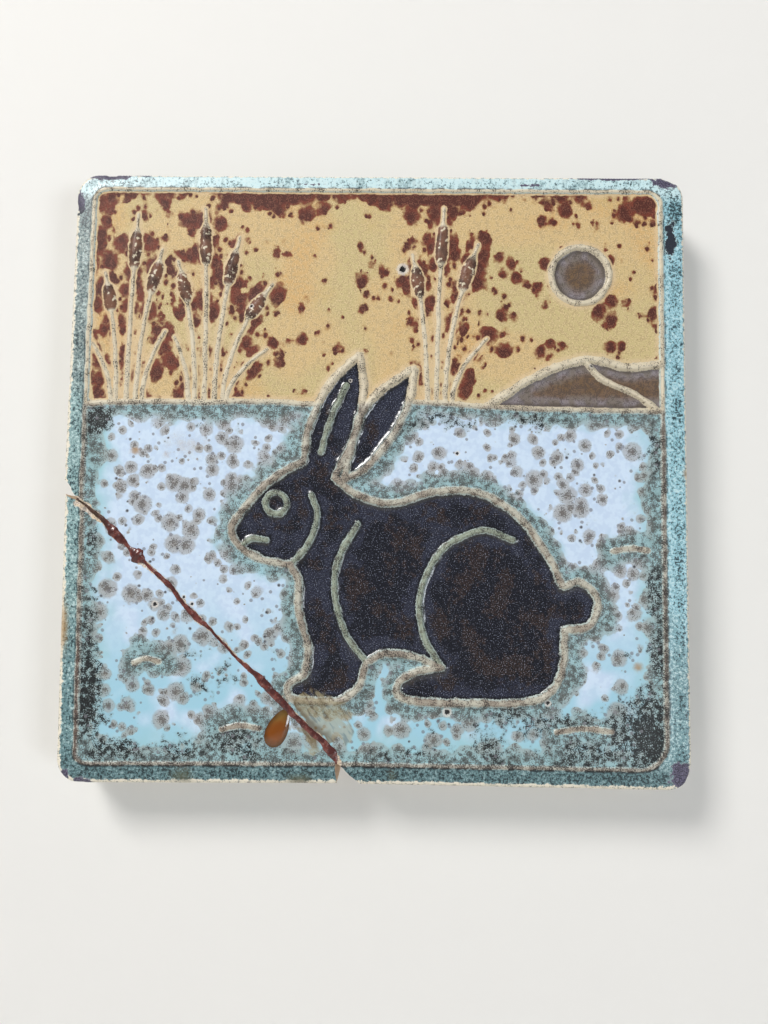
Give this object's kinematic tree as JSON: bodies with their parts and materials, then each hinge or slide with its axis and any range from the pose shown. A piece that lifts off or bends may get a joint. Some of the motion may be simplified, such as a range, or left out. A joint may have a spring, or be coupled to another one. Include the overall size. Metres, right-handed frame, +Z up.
{
  "type": "relief wall tile",
  "caption": "Square glazed relief tile with a raised rim line, a dark animal on a pale field, and a broken lower corner glued back on.",
  "frame": {"origin": "middle of the whole tile's back face, where it meets the wall", "axes": "+X along the width to the viewer's right, +Z up, +Y into the wall, so the face looks along -Y"},
  "size_m": [0.15, 0.015, 0.1483],
  "materials": {
    "glazed_clay": "mottled matt and gloss glazes over buff clay, bare on the back",
    "aged_glue": "old dark red-brown glue, glossy beads"
  },
  "bodies": {
    "root": {"tile_body": "glazed_clay", "tile_corner": "glazed_clay", "glue_seam": "aged_glue"}
  },
  "joints": []
}
